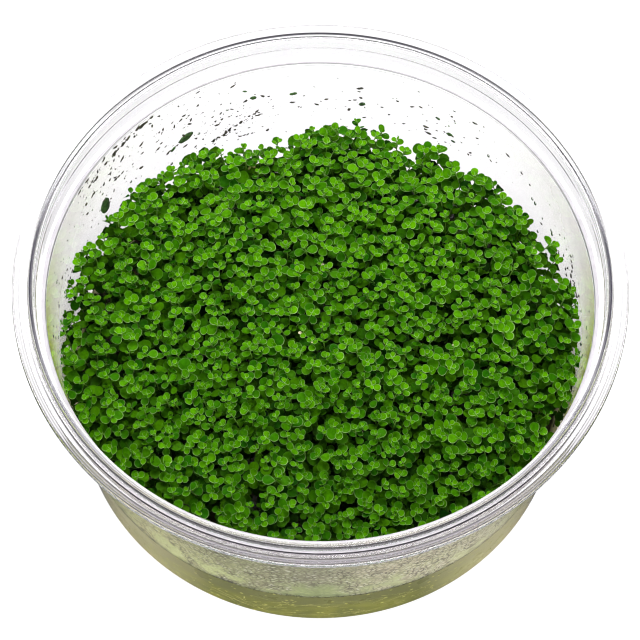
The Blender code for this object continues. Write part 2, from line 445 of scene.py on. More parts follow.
# Clear plastic: faint grey tint, a frosted moulding band round the lip whose colour is painted shade that
# stands in for refraction (near black behind), a painted dark line on the rim's outer edge, beads of water
# inside.
# What changes from front to back is given at places along Y
plastic = {
    "clean": (0.985, 0.970, 0.99),
    "tired": (0.95, 0.935, 0.965),
    "patchesPerMetre": 90.0,
    "paintedBandBack": ((0.002, 0.0015, 0.003), (0.012, 0.010, 0.018)),        # painted shade standing in for refraction, plain and streaked
    "paintedBandSide": ((0.40, 0.38, 0.44), (0.75, 0.73, 0.80)),
    "paintedBandFront": ((0.34, 0.32, 0.38), (0.80, 0.78, 0.86)),
    "bandFrom": 49.18 * mm,
    "bandTo": 49.88 * mm,
    "bandSoft": 0.04 * mm,
    "bandFoot": {44.97 * mm: 0.0, 45.03 * mm: 1.0},
    "bandInward": {-46 * mm: 0.0, -22 * mm: 0.46 * mm},     # at the sides the band lies further in
    "bandShown": {26 * mm: 0.1, 12 * mm: 1.0},
    "bandAside": {40 * mm: 0.0, 8 * mm: 1.0},
    "bandAhead": {-8 * mm: 0.0, -38 * mm: 1.0},
    "bandFrost": {30 * mm: 0.02, 0.0: 0.22},    # roughness
    "streaksPerMetre": 5200.0,
    "streak": {0.42: 0.0, 0.62: 1.0},
    # Painted shade: a dark line on the rim's outer edge that stands in for refraction, fainter behind
    "edge": (0.05, 0.05, 0.06),
    "edgeShadeFrom": {52.38 * mm: 0.0, 52.43 * mm: 1.0},
    "edgeShadeShown": {-42 * mm: 0.75, -28 * mm: 1.0, -5 * mm: 1.0, 20 * mm: 0.1},
    "refraction": 1.47,
    "polish": 0.03,
    "beadsBelow": {30 * mm: 0.0, 20 * mm: 1.0},
    "beadsAhead": {25 * mm: 0.1, -15 * mm: 1.0},
    "beadsInside": {0.35 * mm: 0.0, 0.15 * mm: 1.0},
    "beadsPerMetre": 1500.0,
    "beadHeight": 0.16 * mm,
}


def makePlastic():
    material, tree, shader = startMaterial("clearPlastic")
    patches = addMottle(tree, plastic["clean"], plastic["tired"], plastic["patchesPerMetre"])
    spot = placeOnCup(tree)
    back = spot["back"]
    # Painted shade: the band's dark colour stands in for refraction round the lip
    radius = calculate(tree, "ADD", spot["radius"], ramp(tree, back, plastic["bandInward"]))
    band = between(tree, radius, plastic["bandFrom"], plastic["bandTo"], plastic["bandSoft"])
    high = ramp(tree, spot["height"], plastic["bandFoot"])
    band = times(tree, band, high, ramp(tree, back, plastic["bandShown"]))
    section = addNode(tree, "CombineXYZ", {"X": spot["radius"], "Y": spot["height"]})[0]
    streak = ramp(tree, addNoise(tree, section, plastic["streaksPerMetre"], 1.0)["Fac"], plastic["streak"])
    keys = ("paintedBandBack", "paintedBandSide", "paintedBandFront")
    behind, aside, ahead = [mixColours(tree, streak, *plastic[key]) for key in keys]
    paintedBandColour = mixColours(tree, ramp(tree, back, plastic["bandAside"]), behind, aside)
    paintedBandColour = mixColours(tree, ramp(tree, back, plastic["bandAhead"]), paintedBandColour, ahead)
    # Painted shade along the rim's outer edge
    edge = ramp(tree, spot["radius"], plastic["edgeShadeFrom"])
    edge = times(tree, edge, ramp(tree, back, plastic["edgeShadeShown"]))
    colour = mixColours(tree, edge, patches["Colour"], plastic["edge"])
    colour = mixColours(tree, band, colour, paintedBandColour)
    rough = mapRange(tree, band, 0.0, 1.0, plastic["polish"], ramp(tree, back, plastic["bandFrost"]))
    setInputs(tree, shader, {"Base Color": colour, "Roughness": rough, "IOR": plastic["refraction"],
                             "Transmission Weight": 1.0})
    beads = addNode(tree, "TexVoronoi", {"Vector": spot["place"], "Scale": plastic["beadsPerMetre"]})
    wet = times(tree, ramp(tree, spot["height"], plastic["beadsBelow"]),
                ramp(tree, back, plastic["beadsAhead"]), ramp(tree, spot["outward"], plastic["beadsInside"]))
    addBump(tree, shader, times(tree, beads["Distance"], wet), plastic["beadHeight"], 1.0)
    passLamps(tree)
    return material


# A pale film on the ledge, the collar, the lip and the flange: fine scuffs, and painted light that whitens
# the plastic as its refraction does, with painted dark lines and a painted dark streak that stand in for
# refraction.
# What changes from front to back is given at places along Y
bloom = {
    "pale": (0.50, 0.48, 0.51),
    "dull": (0.42, 0.40, 0.43),
    "patchesPerMetre": 300.0,
    "paintedFrontShade": (0.25, 0.23, 0.245),      # painted shade: the flange greyer in front, where it covers more
    "paintedFrontShadeFrom": {50.30 * mm: 0.0, 50.40 * mm: 1.0},
    "ahead": {-18 * mm: 0.0, -42 * mm: 1.0},
    "lift": 0.015,
    "start": 0.1,               # the film starts this far below the ledge
    "ledge": 0.90,              # how much it covers: the ledge's edge and the collar
    "collar": 0.15,
    "ledgeEdge": {10 * mm: 47.90 * mm, 35 * mm: 47.38 * mm},
    "ledgeSoft": 0.12 * mm,
    "face": (0.95, 0.94, 0.95),         # painted light: the ledge's upright face behind, whitened
    "faceBelow": {39.98 * mm: 0.0, 39.86 * mm: 1.0},
    "faceShown": {10 * mm: 0.0, 35 * mm: 1.0},
    "lip": 0.50,                # and the lip, its outside in front, the flange's foot and its ridges
    "band": {-20 * mm: 0.0, -38 * mm: 0.10},
    "foot": 0.50,
    "ridged": 0.52,
    "collarTo": {48.68 * mm: 1.0, 48.64 * mm: 0.0},
    "upperFrom": {44.0 * mm: 0.0, 44.2 * mm: 1.0},
    "aside": 0.15,              # its share at the sides and the back
    "ringsPerMetre": 4200.0,
    "rings": {0.35: 0.75, 0.65: 1.2},
    "streak": (0.030, 0.028, 0.042),    # a broad painted dark streak on the lip's shoulder that stands in for refraction, its inner and outer radius
    "streakFrom": {28 * mm: 49.00 * mm, 36 * mm: 49.36 * mm},
    "streakTo": {28 * mm: 49.54 * mm, 36 * mm: 49.80 * mm},
    "streakSoft": 0.06 * mm,
    "streakRings": {0.35: 0.8, 0.6: 1.0},
    "streakShown": {-46 * mm: 0.0, -36 * mm: 0.4, -24 * mm: 0.7, -8 * mm: 0.95, 8 * mm: 0.9,
                    20 * mm: 0.3, 28 * mm: 0.0, 38 * mm: 0.7, 49 * mm: 1.0},
    "line": (0.012, 0.010, 0.014),      # painted dark lines along the ridges, standing in for their refraction
    "lineHalf": 0.125 * mm,
    "lineShades": (0.65, 0.45, 0.65),
    "linesShown": {10 * mm: 0.03, -38 * mm: 1.0},
    "firstRadius": {-1 * mm: 50.45 * mm, 0.0: 49.85 * mm, 14 * mm: 50.0 * mm, 30 * mm: 50.15 * mm,
                    49 * mm: 50.32 * mm},       # the first line runs all around
    "firstHalf": {-20 * mm: 0.17 * mm, 20 * mm: 0.20 * mm, 49 * mm: 0.22 * mm},
    "firstShown": {-38 * mm: 1.0, -8 * mm: 0.1, -1 * mm: 0.0, 6 * mm: 0.0, 20 * mm: 0.8, 49 * mm: 0.95},
    "lipLine": 48.90 * mm,      # one line is inside the lip, behind
    "lipHalf": 0.17 * mm,
    "lipShown": {0.0: 0.0, 25 * mm: 0.85},
    "lipAbove": {45.7 * mm: 0.0, 45.8 * mm: 1.0},
}


# Painted dark lines that stand in for the refraction of the ridges and the lip
def drawPaintedLines(tree, spot):
    radius = spot["radius"]
    back = spot["back"]
    lines = 0.0
    for middle, shade in zip(cup["ridges"][1:], bloom["lineShades"]):
        line = fineLine(tree, radius, middle * mm, bloom["lineHalf"], shade)
        lines = calculate(tree, "MAXIMUM", line, lines)
    lines = times(tree, lines, ramp(tree, back, bloom["linesShown"]))
    middle = ramp(tree, back, bloom["firstRadius"])
    half = ramp(tree, back, bloom["firstHalf"])
    first = fineLine(tree, radius, middle, half, ramp(tree, back, bloom["firstShown"]))
    lip = fineLine(tree, radius, bloom["lipLine"], bloom["lipHalf"], ramp(tree, back, bloom["lipShown"]))
    lip = times(tree, lip, ramp(tree, spot["height"], bloom["lipAbove"]))
    return calculate(tree, "MAXIMUM", calculate(tree, "MAXIMUM", lines, first), lip)


# A layer with its own alpha over another: the colour and the alpha of both
def layOver(tree, below, shownBelow, above, shownAbove):
    clear = calculate(tree, "SUBTRACT", 1.0, shownAbove)
    shown = calculate(tree, "ADD", shownAbove, times(tree, shownBelow, clear))
    share = calculate(tree, "DIVIDE", shownAbove, calculate(tree, "MAXIMUM", shown, 0.001))
    return mixColours(tree, share, below, above), shown


# How much the film covers: the ledge and the collar below, the lip and the flange above
def coverRim(tree, spot, ahead, rings):
    radius = spot["radius"]
    back = spot["back"]
    inFront = ramp(tree, back, bloom["band"])
    upper = ramp(tree, radius, {49.22 * mm: bloom["lip"], 49.30 * mm: inFront, 49.86 * mm: inFront,
                                49.92 * mm: bloom["foot"], 50.36 * mm: bloom["foot"],
                                50.44 * mm: bloom["ridged"]})
    upper = times(tree, upper, ramp(tree, rings, bloom["rings"]))
    upper = times(tree, upper, mapRange(tree, ahead, 0.0, 1.0, bloom["aside"], 1.0))
    beyond = calculate(tree, "SUBTRACT", radius, ramp(tree, back, bloom["ledgeEdge"]))
    soft = bloom["ledgeSoft"]
    lower = mapRange(tree, beyond, -soft, soft, bloom["ledge"], bloom["collar"])
    isUpper = ramp(tree, spot["height"], bloom["upperFrom"])
    isUpper = times(tree, isUpper, ramp(tree, radius, bloom["collarTo"]))
    return mapRange(tree, isUpper, 0.0, 1.0, lower, upper)


def makeBloom():
    material, tree, shader = startMaterial("scuffAndPaintedLight")
    colour = addMottle(tree, bloom["pale"], bloom["dull"], bloom["patchesPerMetre"])["Colour"]
    spot = placeOnCup(tree)
    radius = spot["radius"]
    back = spot["back"]
    ahead = ramp(tree, back, bloom["ahead"])
    # Painted shade on the flange in front
    paintedFrontShade = times(tree, ahead, ramp(tree, radius, bloom["paintedFrontShadeFrom"]))
    colour = mixColours(tree, paintedFrontShade, colour, bloom["paintedFrontShade"])
    # Painted light on the ledge's upright face behind
    paintedLitFace = times(tree, ramp(tree, spot["height"], bloom["faceBelow"]), ramp(tree, back, bloom["faceShown"]))
    colour = mixColours(tree, paintedLitFace, colour, bloom["face"])
    section = addNode(tree, "CombineXYZ", {"X": radius})[0]
    rings = addNoise(tree, section, bloom["ringsPerMetre"], 1.0)["Fac"]
    # Painted shade: the dark streak on the lip's shoulder
    streak = between(tree, radius, ramp(tree, back, bloom["streakFrom"]), ramp(tree, back, bloom["streakTo"]),
                     bloom["streakSoft"])
    streak = times(tree, streak, ramp(tree, back, bloom["streakShown"]),
                   ramp(tree, rings, bloom["streakRings"]))
    shown = coverRim(tree, spot, ahead, rings)
    colour, shown = layOver(tree, colour, shown, bloom["streak"], streak)
    colour, shown = layOver(tree, colour, shown, bloom["line"], drawPaintedLines(tree, spot))
    setInputs(tree, shader, {"Base Color": colour, "Alpha": shown, "Roughness": 0.6,
                             "Specular IOR Level": 0.1})
    return material


def layBloom():
    start = cup["ledgeHeight"] - bloom["start"]
    points = np.array([(innerWall(cup["ledgeHeight"]), start)] + rimProfile())
    along = np.gradient(points, axis=0)
    out = np.stack([-along[:, 1], along[:, 0]], axis=1)
    points += out / np.linalg.norm(out, axis=1)[:, None] * bloom["lift"]
    mesh = turnedMesh("rim_bloom", points.tolist(), cup["turns"], 60)
    addPiece("rim_bloom", mesh, [makeBloom()])


cupMesh = turnedMesh("culture_cup", cupProfile(), cup["turns"], 34)
addPiece("culture_cup", cupMesh, [makePlastic()], ["cup"])
layBloom()
print("cup turned:", len(cupMesh.polygons), "faces")


# Culture gel with a low rise where it clings to the wall
gel = {
    "top": 12.0,
    "press": 0.45,              # in front the gel clings to the plastic with no air between
    "gap": 0.05,                # elsewhere it has shrunk from the wall by a hair
    "gapFrom": -26.0,           # it comes away from the wall between these places
    "gapTo": -21.0,
    "clingWidth": 2.6,
    "clingRise": 0.7,
    "clingSteps": (0.0, 0.25, 0.5, 0.75, 0.9),
    "edgeRound": 0.1,
    "turns": 192,
    "pale": (0.265, 0.27, 0.045),
    "deep": (0.16, 0.17, 0.03),
    "patchesPerMetre": 160.0,
    "shaded": (0.165, 0.17, 0.05),
    "shade": {6.5 * mm: 0.0, 9.0 * mm: 0.85},   # by height
    "ends": (0.92, 0.86, 0.52),                 # paler at the sides
    "aside": {18 * mm: 0.0, 37 * mm: 0.9},
    "speck": (0.62, 0.61, 0.16),
    "specks": {0.20: 0.0, 0.10: 0.8},
    "specksPerMetre": 520.0,
    # Painted shade, with some dark debris, on the gel's top under the leaves
    "shadeAndDebrisUnderLeaves": (0.018, 0.016, 0.008),
    "onTop": {11.7 * mm: 0.0, 11.95 * mm: 1.0},
    "inward": {-0.6 * mm: 0.0, -1.4 * mm: 1.0},
    "clearness": 0.10,
    "refraction": 1.34,
}


def gelProfile():
    foot = cup["wall"] - gel["press"]
    floor = cup["baseHollow"] + foot
    corner = cup["baseCorner"] - cup["wall"] / 2
    edge = innerWall(gel["top"]) + gel["press"]
    low = innerWall(foot + corner) + gel["press"]
    width = gel["clingWidth"]
    rise = gel["clingRise"]
    points = [(0.0, gel["top"])]
    points += [(edge - width * (1 - t), gel["top"] + rise * t ** 3) for t in gel["clingSteps"]]
    bend = gel["edgeRound"]
    points += [(edge - 0.8 * bend, gel["top"] + rise), (edge, gel["top"] + rise - bend)]
    points += profileArc(low - corner, foot + corner, corner, 0, -80, 6)
    return points + [(cup["baseRadius"] - cup["footWidth"] - cup["wall"], floor), (0.0, floor)]


def shrinkGel(mesh):
    back = gel["press"] + gel["gap"]
    for corner in mesh.vertices:
        share = (corner.co.y / mm - gel["gapFrom"]) / (gel["gapTo"] - gel["gapFrom"])
        share = min(1.0, max(0.0, share))
        corner.co.xy *= 1.0 - share * back / innerWall(gel["top"])
        if corner.co.z < gel["top"] * mm / 2:
            corner.co.z += share * back * mm


def makeGel():
    material, tree, shader = startMaterial("cultureGel")
    patches = addMottle(tree, gel["pale"], gel["deep"], gel["patchesPerMetre"])
    spot = placeOnCup(tree)
    colour = mixColours(tree, ramp(tree, spot["height"], gel["shade"]), patches["Colour"], gel["shaded"])
    aside = ramp(tree, calculate(tree, "ABSOLUTE", spot["right"]), gel["aside"])
    colour = mixColours(tree, aside, colour, gel["ends"])
    cells = addNode(tree, "TexVoronoi", {"Vector": spot["place"], "Scale": gel["specksPerMetre"]})["Distance"]
    colour = mixColours(tree, ramp(tree, cells, gel["specks"]), colour, gel["speck"])
    # Painted shade, with some dark debris, on the gel's top under the leaves
    top = times(tree, ramp(tree, spot["height"], gel["onTop"]), ramp(tree, spot["outward"], gel["inward"]))
    colour = mixColours(tree, top, colour, gel["shadeAndDebrisUnderLeaves"])
    rough = mapRange(tree, patches["Patch"], 0.0, 1.0, 0.25, 0.5)
    setInputs(tree, shader, {"Base Color": colour, "Roughness": rough, "IOR": gel["refraction"],
                             "Transmission Weight": gel["clearness"]})
    addBump(tree, shader, cells, 0.2 * mm, 0.3)
    passLamps(tree)
    return material


gelMesh = turnedMesh("culture_gel_layer", gelProfile(), gel["turns"], 40)
shrinkGel(gelMesh)
addPiece("culture_gel_layer", gelMesh, [makeGel()], ["culture_gel"])
print("gel poured:", len(gelMesh.polygons), "faces")


# Leaves, stems and dry bits
foliage = {
    "young": (0.125, 0.40, 0.001),
    "grown": (0.018, 0.130, 0.001),
    # Old leaves nearly black: real ageing, and painted shade deep in the carpet
    "old": (0.0006, 0.011, 0.0006),
    "grownAt": 0.45,            # the age at which a leaf is full grown
    "youthful": 0.45,           # how far chance may make a leaf look young again
    # Painted light: the pale rim on a blade's edge
    "rim": (0.70, 0.95, 0.40),
    "rimShown": {0.1: 0.9, 0.8: 0.05},          # by age
    "leafPatchesPerMetre": 1500.0,
    "stemPatchesPerMetre": 900.0,
    "stemTop": (0.12, 0.27, 0.02),
    "stemFoot": (0.05, 0.034, 0.014),
    "dry": (0.72, 0.70, 0.50),
    "dryDark": (0.42, 0.36, 0.16),
    "glow": 0.12,               # share of light that a blade lets through
    "rough": {0.0: 0.45, 1.0: 0.61},
    "specular": 0.02,
}


# The leafLook attribute of each corner: X is the painted rim light on the blade's edge, Y is age, with
# painted shade and light in it, Z is chance
def readLook(tree):
    look = addNode(tree, "Attribute", {}, attribute_name="leafLook", attribute_type="GEOMETRY")
    return addNode(tree, "SeparateXYZ", {0: look["Vector"]})


def makeLeaf():
    material, tree, shader = startMaterial("leafGreen")
    look = readLook(tree)
    grown = foliage["grownAt"]
    aged = mixColours(tree, mapRange(tree, look["Y"], 0.0, grown), foliage["young"], foliage["grown"])
    aged = mixColours(tree, mapRange(tree, look["Y"], grown, 1.0), aged, foliage["old"])
    chance = mapRange(tree, look["Z"], 0.0, 1.0, 0.0, foliage["youthful"])
    aged = mixColours(tree, chance, aged, foliage["young"])
    # Painted light: a pale rim on the blade's edge, mostly on young leaves
    share = times(tree, look["X"], ramp(tree, look["Y"], foliage["rimShown"]))
    blade = mixColours(tree, share, aged, foliage["rim"])
    darker = mixColours(tree, 0.3, blade, foliage["old"])
    patches = addMottle(tree, blade, darker, foliage["leafPatchesPerMetre"])
    setInputs(tree, shader, {"Base Color": patches["Colour"], "Specular IOR Level": foliage["specular"],
                             "Roughness": ramp(tree, patches["Patch"], foliage["rough"])})
    addBump(tree, shader, patches["Patch"], 0.03 * mm, 0.35)
    thin = addNode(tree, "BsdfTranslucent", {"Color": patches["Colour"]})[0]
    mixSurface(tree, foliage["glow"], thin)
    return material


def makeStem():
    material, tree, shader = startMaterial("stemGreen")
    aged = mixColours(tree, readLook(tree)["Y"], foliage["stemTop"], foliage["stemFoot"])
    darker = mixColours(tree, 0.4, aged, foliage["old"])
    patches = addMottle(tree, aged, darker, foliage["stemPatchesPerMetre"])
    setInputs(tree, shader, {"Base Color": patches["Colour"], "Roughness": 0.5})
    addBump(tree, shader, patches["Patch"], 0.03 * mm, 0.4)
    return material


def makeDryLeaf():
    return patchyMaterial("dryLeaf", foliage["dry"], foliage["dryDark"], 1300.0, {"Roughness": 0.8},
                          (0.05 * mm, 0.6))


# How a shoot grows, in millimetres and degrees
shoot = {
    "pairs": [                  # below the tip, leaf length, lift and age of the leaf, whose darkening is partly painted shade deeper down
        (0.08, 0.78, 56, 0.0),
        (0.50, 1.18, 36, 0.12),
        (1.25, 1.55, 20, 0.36),
        (2.40, 1.85, 8, 0.68),
        (4.10, 1.95, 0, 0.92),
        (6.00, 1.95, -6, 1.0),
        (8.00, 1.85, -10, 1.0),
        (10.0, 1.70, -12, 1.0),
        (11.8, 1.50, -14, 1.0),
    ],
    "blade": {                  # limits of a blade's shape, as shares of its length
        "width": (0.92, 1.16),
        "cupped": (0.02, 0.20),
        "droop": (-0.02, 0.16),
        "fold": (0.0, 0.14),
    },
    "bladeMiddle": 0.52,
    "bladeWidth": (0.47, 0.80, 0.32),       # half width, at the stem end, and more towards the tip
    "rollChange": 0.16,
    "bladeChange": 0.07,
    "ageChange": 0.22,
    "rimLightToward": (0.35, -0.9, -0.25),       # painted light: a leaf's pale rim is strongest on this side, as if lit from it
    "rimSides": (0.65, 0.5),    # its mean strength, and how much the side changes it
    "rimLeast": 0.18,
    "paintedLightBehind": 0.10,        # painted light: shoots at the back are made younger and lighter by this, those in front older and darker
    "shadeBelow": 0.18,           # painted shade: a filling shoot's leaves age and darken by this for each millimetre it is lower
    "stalk": 0.15,              # length of a leaf's stalk, as a share of its blade
    "finePairs": 4,             # the pairs seen from above have finer blades
    "innerPairs": 7,            # shoots away from the wall have no pairs below these
    "bareFoot": 0.6,
    "wallBand": 5.0,
    "lean": 15.0,
    "wallLean": 0.30,           # shoots beside the wall lean out against it
    "wallFrom": 0.4,            # all around but behind
    "wallReach": (1.3, 0.75),   # how far they move out: at most, and as a share of the gap
    "lengthChange": 0.17,
    "turnChange": 14.0,
    "pitchChange": 11.0,
    "stemRadius": 0.12,
    "stemTaper": (1.25, 0.45),
    "stemSides": 5,
    "stemJoints": 7,
    "stemBend": (0.15, 0.18),   # up and back, as shares of its length
    "stemAge": 13.0,            # height over which a stem's colour changes
    "foot": 12.1,               # the stems start in the gel's top
    "footSpread": 0.8,
    "footInward": 0.965,
    "footBack": 0.25,
    "wallGap": 0.12,            # leaves press no closer to the wall than this
    "sunk": 0.4,
    "wallClimb": (0.2, 1.5),    # shoots that the wall holds up stand higher
    "dipBearing": 109.0,        # behind, left of the middle, the carpet dips and stands off the wall
    "dipSpread": 8.0,
    "dipInward": 1.5,
    "dipDown": 1.2,
    "sprigShare": 0.45,         # of the shoots along the back edge
    "sprigRise": (0.6, 2.2),
    "fillSpacing": 1.95,
    "fillWithin": 2.6,
    "fillDrop": (0.8, 4.0),
    "fillTries": 12000,
    "reach": 44.9,
    "dryShare": 0.0012,
    "drySize": 0.5,             # dry leaves have shrunk to this share
}


# A round blade one unit long, its stem end at the origin: rings about its middle
def bladeTemplate(sides, rings):
    turn = np.arange(sides) * math.tau / sides
    middle = shoot["bladeMiddle"]
    half, foot, more = shoot["bladeWidth"]
    along = 0.5 - 0.5 * np.cos(turn)
    across = half * np.sin(turn) * (foot + more * along)
    along[0] -= shoot["stalk"]
    points = [(middle, 0.0, 0.0)]
    for share in rings:
        points += [(middle + (a - middle) * share, b * share, share) for a, b in zip(along, across)]
    faces = [(0, 1 + i, 1 + (i + 1) % sides) for i in range(sides)]
    for inner in range(1, 1 + sides * (len(rings) - 1), sides):
        pairs = [(inner + i, inner + (i + 1) % sides) for i in range(sides)]
        faces += [(a, a + sides, b + sides, b) for a, b in pairs]
    return np.array(points), faces


fineBlade = bladeTemplate(12, (0.50, 0.86, 1.0))
plainBlade = bladeTemplate(8, (0.80, 1.0))


# The highest corners of a tuft's solid are where its shoots end
def tuftTips(node):
    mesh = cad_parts[node].data
    corners = np.array([corner.co for corner in mesh.vertices])
    keys = np.round(corners / (0.01 * mm)).astype(int)
    unique, first, same = np.unique(keys, axis=0, return_index=True, return_inverse=True)
    same = same.reshape(-1)
    heights = corners[first][:, 2]
    highest = np.full(len(unique), -1.0)
    for polygon in mesh.polygons:
        ring = same[list(polygon.vertices)]
        for one in ring:
            others = ring[ring != one]
            highest[one] = max(highest[one], heights[others].max())
    return corners[first][heights > highest + 0.1 * mm] / mm


# A stem from its foot to its tip, upright below and leaning above
def stemCurve(tip, slope, length, foot):
    up, back = shoot["stemBend"]
    bend = foot + (tip - foot) * 0.5 + np.array([0.0, 0.0, up]) * length - slope * length * back
    share = np.linspace(0.0, 1.0, shoot["stemJoints"])
    return np.array([(1 - t) ** 2 * foot + 2 * t * (1 - t) * bend + t * t * tip for t in share])


# Point and direction on a stem, measured down from its tip
def alongStem(curve, below):
    steps = np.linalg.norm(np.diff(curve[::-1], axis=0), axis=1)
    passed = 0.0
    for index, step in enumerate(steps):
        if passed + step >= below or index == len(steps) - 1:
            start = curve[-1 - index]
            end = curve[-2 - index]
            share = min(1.0, (below - passed) / step)
            direction = (start - end) / step
            return start + (end - start) * share, direction
        passed += step


# Where a shoot ends once the wall, the dip and chance have moved its tip, and which way it leans
def settleTip(tip, drop, nearWall, fromWall):
    out = math.hypot(tip[0], tip[1])
    lean = math.tan(math.radians(shoot["lean"]))
    slope = np.array([draw.normal(0, lean), draw.normal(0, lean), 0.0])
    if nearWall and tip[1] < shoot["wallFrom"] * out:
        outward = np.array([tip[0] / out, tip[1] / out, 0.0])
        slope += outward * shoot["wallLean"]
        most, share = shoot["wallReach"]
        tip = tip + outward * min(most, share * fromWall)
        tip[2] += draw.uniform(*shoot["wallClimb"])
    elif nearWall and drop == 0.0 and draw.random() < shoot["sprigShare"]:
        tip = tip + np.array([0.0, 0.0, draw.uniform(*shoot["sprigRise"])])
    if nearWall:
        aside = math.degrees(math.atan2(tip[1], tip[0])) - shoot["dipBearing"]
        dip = math.exp(-(aside / shoot["dipSpread"]) ** 2)
        tip = tip * (1.0 - dip * shoot["dipInward"] / out) - np.array([0.0, 0.0, dip * shoot["dipDown"]])
    return tip, slope


def growShoot(tip, drop):
    fromWall = innerWall(tip[2]) - math.hypot(tip[0], tip[1])
    nearWall = fromWall < shoot["wallBand"]
    tip, slope = settleTip(tip, drop, nearWall, fromWall)
    rise = tip[2] - shoot["foot"]
    wander = draw.normal(0, shoot["footSpread"], 2)
    foot = np.array([*(tip[:2] * shoot["footInward"] + wander), shoot["foot"]])
    foot[:2] -= slope[:2] * rise * shoot["footBack"]
    curve = stemCurve(tip, slope, rise, foot)
    pairs = shoot["pairs"] if nearWall else shoot["pairs"][:shoot["innerPairs"]]
    turn = draw.uniform(0, math.tau)
    size = draw.normal(1.0, shoot["lengthChange"])
    # Painted shade on lower filling shoots and painted light on shoots at the back, given as age
    ageShift = drop * shoot["shadeBelow"] - shoot["paintedLightBehind"] * tip[1] / shoot["reach"]
    leaves = []
    for order, (below, length, lift, age) in enumerate(pairs):
        if below > rise - shoot["bareFoot"]:
            break
        place, axis = alongStem(curve, below)
        across = np.cross(axis, [math.cos(turn), math.sin(turn), 0.0])
        across /= np.linalg.norm(across)
        for side in (1, -1):
            dry = draw.random() < shoot["dryShare"]
            shrink = shoot["drySize"] if dry else 1.0
            pitch = math.radians(lift + draw.normal(0, shoot["pitchChange"]))
            outward = across * side
            leafOut = math.cos(pitch) * outward + math.sin(pitch) * axis
            leafUp = math.cos(pitch) * axis - math.sin(pitch) * outward
            leaves.append({
                "fine": order < shoot["finePairs"],
                "place": place + leafOut * (0.1 + shoot["stalk"] * length),
                "out": leafOut,
                "up": leafUp,
                "length": length * size * shrink * draw.normal(1.0, shoot["bladeChange"]),
                **{key: draw.uniform(*limits) for key, limits in shoot["blade"].items()},
                "roll": draw.normal(0, shoot["rollChange"]),
                "age": min(1.0, max(0.0, age + ageShift + draw.uniform(0, shoot["ageChange"]))),
                "chance": draw.random(),
                "dry": dry,
            })
        turn += math.pi / 2 + math.radians(draw.normal(0, shoot["turnChange"]))
    return leaves, curve


# All blades of one template at once
def bladePoints(template, leaves):
    points = template[0]
    columns = {key: np.array([leaf[key] for leaf in leaves])[:, None] for key in leaves[0]}
    out = columns["out"][:, 0]
    up = columns["up"][:, 0]
    side = np.cross(up, out)
    roll = columns["roll"]
    side, up = side * np.cos(roll) + up * np.sin(roll), up * np.cos(roll) - side * np.sin(roll)
    x = points[:, 0][None]
    y = points[:, 1][None] * columns["width"]
    z = columns["cupped"] * points[:, 2][None] ** 2 + columns["fold"] * np.abs(y) - columns["droop"] * x ** 2
    local = x[..., None] * out[:, None] + y[..., None] * side[:, None] + z[..., None] * up[:, None]
    return columns["place"] + local * columns["length"][..., None]


def pressFromWall(points):
    radius = np.hypot(points[..., 0], points[..., 1])
    limit = innerWall(points[..., 2]) - shoot["wallGap"]
    share = np.minimum(1.0, limit / np.maximum(radius, 0.001))
    points[..., 0] *= share
    points[..., 1] *= share
    points[..., 2] = np.maximum(points[..., 2], shoot["foot"] - shoot["sunk"])
    return points


def stemTube(curve):
    rings = []
    wide, taper = shoot["stemTaper"]
    for index, point in enumerate(curve):
        radius = shoot["stemRadius"] * (wide - taper * index / (len(curve) - 1))
        for side in range(shoot["stemSides"]):
            angle = math.tau * side / shoot["stemSides"]
            rings.append(point + np.array([radius * math.cos(angle), radius * math.sin(angle), 0.0]))
    return rings


# Faces around a tube, ring after ring
def tubeFaces(rings, sides):
    faces = []
    for ring in range(0, (rings - 1) * sides, sides):
        pairs = [(ring + side, ring + (side + 1) % sides) for side in range(sides)]
        faces += [(a, b, b + sides, a + sides) for a, b in pairs]
    return faces


def stemFaces(rings, sides):
    last = (rings - 1) * sides
    return tubeFaces(rings, sides) + [tuple(range(last, last + sides)), tuple(reversed(range(sides)))]


# A tuft's leaves and stems as one joined mesh
def tuftMesh(name, shoots):
    points, looks, faces, kinds = [], [], [], []
    count = 0
    for template, fine in ((fineBlade, True), (plainBlade, False)):
        leaves = [leaf for leafList, _ in shoots for leaf in leafList if leaf["fine"] == fine]
        blades = pressFromWall(bladePoints(template, leaves))
        points.append(blades.reshape(-1, 3))
        age = np.array([leaf["age"] for leaf in leaves])
        chance = np.array([leaf["chance"] for leaf in leaves])
        fromMiddle = blades - blades.mean(axis=1, keepdims=True)
        # Painted light: a blade's pale rim is brightest on one side
        lit = fromMiddle @ shoot["rimLightToward"] / np.maximum(np.linalg.norm(fromMiddle, axis=2), 0.001)
        mean, change = shoot["rimSides"]
        edge = np.where(template[0][:, 2] > 0.99, 1.0, 0.0) * (mean + change * lit).clip(shoot["rimLeast"], 1)
        look = np.stack(np.broadcast_arrays(edge, age[:, None], chance[:, None]), axis=-1)
        looks.append(look.reshape(-1, 3))
        faces += joinFaces(template[1], len(leaves), len(template[0]), count)
        for leaf in leaves:
            kinds += [2 if leaf["dry"] else 0] * len(template[1])
        count += len(leaves) * len(template[0])
    for _, curve in shoots:
        tube = pressFromWall(np.array(stemTube(curve)))
        points.append(tube)
        age = np.clip(1.0 - (tube[:, 2] - shoot["foot"]) / shoot["stemAge"], 0.0, 1.0)
        looks.append(np.stack([np.zeros(len(tube)), age, np.zeros(len(tube))], axis=-1))
    pattern = stemFaces(shoot["stemJoints"], shoot["stemSides"])
    faces += joinFaces(pattern, len(shoots), shoot["stemJoints"] * shoot["stemSides"], count)
    kinds += [1] * len(pattern) * len(shoots)
    mesh = smallMesh(name, np.concatenate(points), faces)
    mesh.polygons.foreach_set("material_index", kinds)
    look = mesh.attributes.new("leafLook", "FLOAT_VECTOR", "POINT")
    look.data.foreach_set("vector", np.concatenate(looks).ravel())
    mesh.update()
    return mesh


